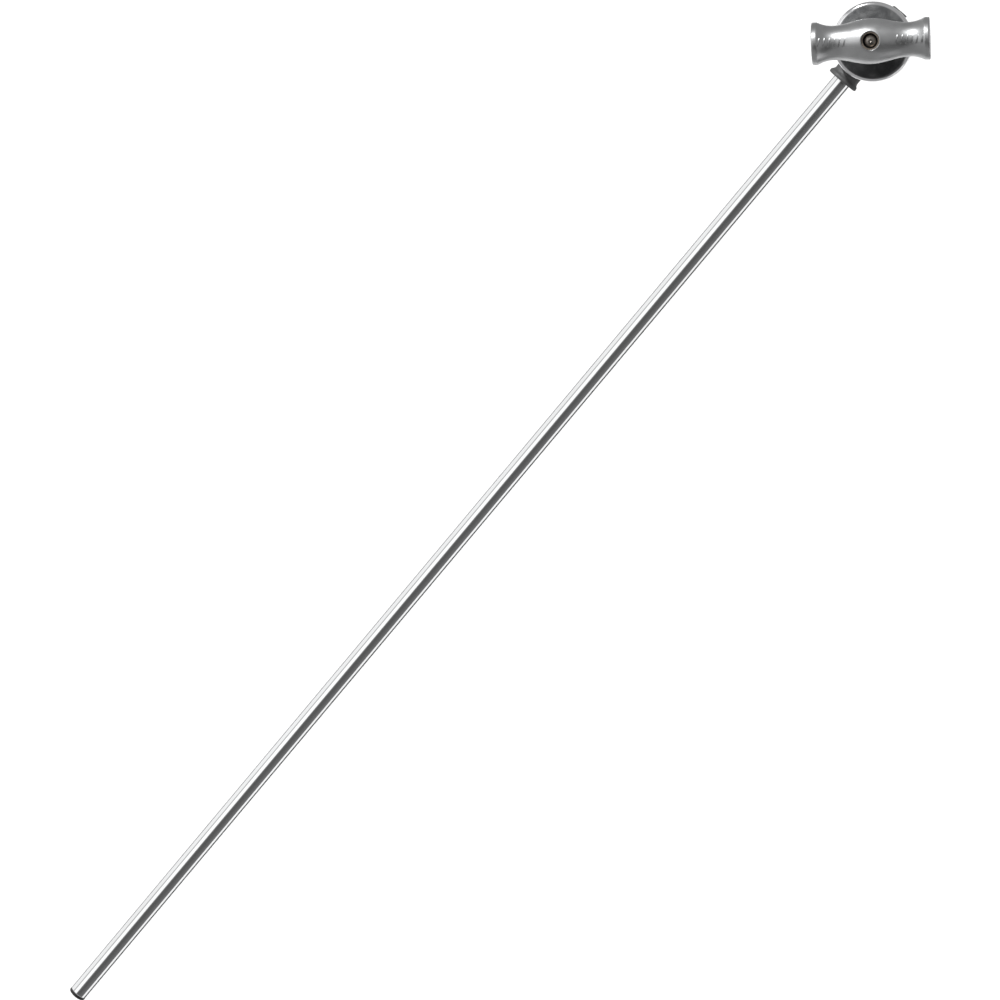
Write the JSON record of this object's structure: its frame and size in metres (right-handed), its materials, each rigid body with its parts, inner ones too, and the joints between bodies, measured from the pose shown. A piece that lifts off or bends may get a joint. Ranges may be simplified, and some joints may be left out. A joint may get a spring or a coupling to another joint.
{
  "type": "extension grip arm",
  "caption": "Long round steel rod with a clamping grip head at one end: two round channelled jaws on a bolt, tightened by a T-handle.",
  "frame": {"origin": "centre of the rod's free end, where its plastic plug begins", "axes": "+X along the rod to the head, +Z along the clamp bolt to the T-handle"},
  "size_m": [1.1026, 0.0902, 0.0993],
  "materials": {
    "rod_chrome": "mirror polished",
    "plug_plastic": "satin",
    "cast_grey": "matte cast",
    "bolt_steel": "oiled steel",
    "zinc_steel": "plain zinc plated",
    "fibre": "matte fibre",
    "jaw_alloy": "machined",
    "jaw_polished": "polished",
    "spring_steel": "plain",
    "bearing_steel": "ground",
    "cage_brass": "stamped",
    "handle_alloy": "hand polished casting",
    "insert_bronze": "turned, aged",
    "black_oxide": "black oxide"
  },
  "bodies": {
    "arm": {"arm_rod": "rod_chrome", "rod_end_plug": "plug_plastic", "arm_casting": "cast_grey", "socket_pin": "zinc_steel", "clamp_bolt": "bolt_steel", "bolt_head_washer": "zinc_steel", "friction_washer": "fibre", "jaw_spring": "spring_steel", "spring_washer_rear": "zinc_steel", "stop_ring": "black_oxide"},
    "inner_jaw": {"rear_jaw": "jaw_alloy", "jaw_guide_pins": "bearing_steel"},
    "spring_seat": {"spring_washer_front": "zinc_steel"},
    "outer_jaw": {"front_jaw": "jaw_polished", "bearing_race_rear": "bearing_steel"},
    "cage": {"bearing_cage": "cage_brass", "bearing_rollers": "bearing_steel"},
    "t_handle": {"handle": "handle_alloy", "handle_insert": "insert_bronze", "insert_pin": "zinc_steel", "bearing_race_front": "bearing_steel", "bearing_cover": "zinc_steel"}
  },
  "joints": [
    {"name": "jaw_swivel", "type": "hinge", "parent": "arm", "child": "inner_jaw", "pos_m": [1.0565, 0, 0.02], "axis": [0, 0, 1], "continuous": true},
    {"name": "jaw_open", "type": "slide", "parent": "arm", "child": "spring_seat", "axis": [0, 0, 1], "range_m": [0, 0.00794], "deforming": ["jaw_spring"]},
    {"name": "outer_jaw_swivel", "type": "hinge", "parent": "spring_seat", "child": "outer_jaw", "pos_m": [1.0565, 0, 0.03], "axis": [0, 0, 1], "continuous": true},
    {"name": "handle_turn", "type": "hinge", "parent": "spring_seat", "child": "t_handle", "pos_m": [1.0565, 0, 0.067], "axis": [0, 0, 1], "range_deg": [0, 1800]},
    {"name": "cage_turn", "type": "hinge", "parent": "spring_seat", "child": "cage", "pos_m": [1.0565, 0, 0.0415], "axis": [0, 0, 1], "range_deg": [0, 900]}
  ],
  "couplings": [
    {"joint": "jaw_open", "follows": "handle_turn", "m_per_rad": 0.00025265},
    {"joint": "outer_jaw_swivel", "follows": "jaw_swivel", "ratio": 1},
    {"joint": "cage_turn", "follows": "handle_turn", "ratio": 0.5}
  ]
}
